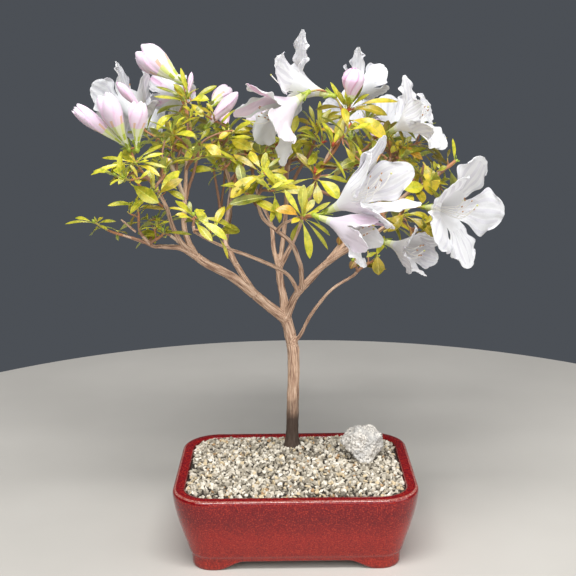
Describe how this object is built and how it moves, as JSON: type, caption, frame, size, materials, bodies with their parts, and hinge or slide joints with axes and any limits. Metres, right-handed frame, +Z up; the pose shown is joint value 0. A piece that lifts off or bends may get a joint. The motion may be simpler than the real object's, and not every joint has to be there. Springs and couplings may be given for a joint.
{
  "type": "azalea bonsai in a pot",
  "caption": "Flowering azalea trained as a bonsai, with a slim trunk, spreading boughs and white and pink blossom, in a glazed rectangular pot of grit with a pale stone.",
  "frame": {"origin": "on the ground, under the middle of the whole plant's bounding box; the pot stands to the front of it", "axes": "+X to the right and +Y to the back as seen from the front of the pot, +Z up along the trunk"},
  "size_m": [0.3492, 0.305, 0.4289],
  "materials": {
    "oxblood_glaze": "glossy dark red glaze over stoneware",
    "gravel": "matt sieved grit",
    "pale_rock": "rough weathered rock",
    "bark": "thin stringy bark",
    "foliage_and_blossom": "leaves and petals"
  },
  "bodies": {
    "root": {"pot": "oxblood_glaze", "gravel_bed": "gravel", "feature_stone": "pale_rock", "trunk": "bark", "left_bough": "bark", "right_bough": "bark", "centre_bough": "bark", "left_low_bough": "bark", "left_rise_bough": "bark", "left_outer_bough": "bark", "inner_left_bough": "bark", "centre_rise_bough": "bark", "centre_left_bough": "bark", "centre_right_bough": "bark", "right_outer_bough": "bark", "right_rise_bough": "bark", "front_rise_bough": "bark", "front_shoot": "bark", "crossing_shoot": "bark", "right_shoot": "bark", "back_left_bough": "bark", "back_bough": "bark", "back_right_bough": "bark", "left_low_leaves": "foliage_and_blossom", "left_outer_blossom": "foliage_and_blossom", "left_top_blossom": "foliage_and_blossom", "inner_left_leaves": "foliage_and_blossom", "crossing_shoot_leaves": "foliage_and_blossom", "centre_left_leaves": "foliage_and_blossom", "front_rise_leaves": "foliage_and_blossom", "front_blossom": "foliage_and_blossom", "centre_top_leaves": "foliage_and_blossom", "crown_top_blossom": "foliage_and_blossom", "right_upper_blossom": "foliage_and_blossom", "right_tip_leaves": "foliage_and_blossom", "right_low_blossom": "foliage_and_blossom", "right_shoot_leaves": "foliage_and_blossom", "back_left_blossom": "foliage_and_blossom", "back_blossom": "foliage_and_blossom", "back_right_blossom": "foliage_and_blossom"}
  },
  "joints": []
}
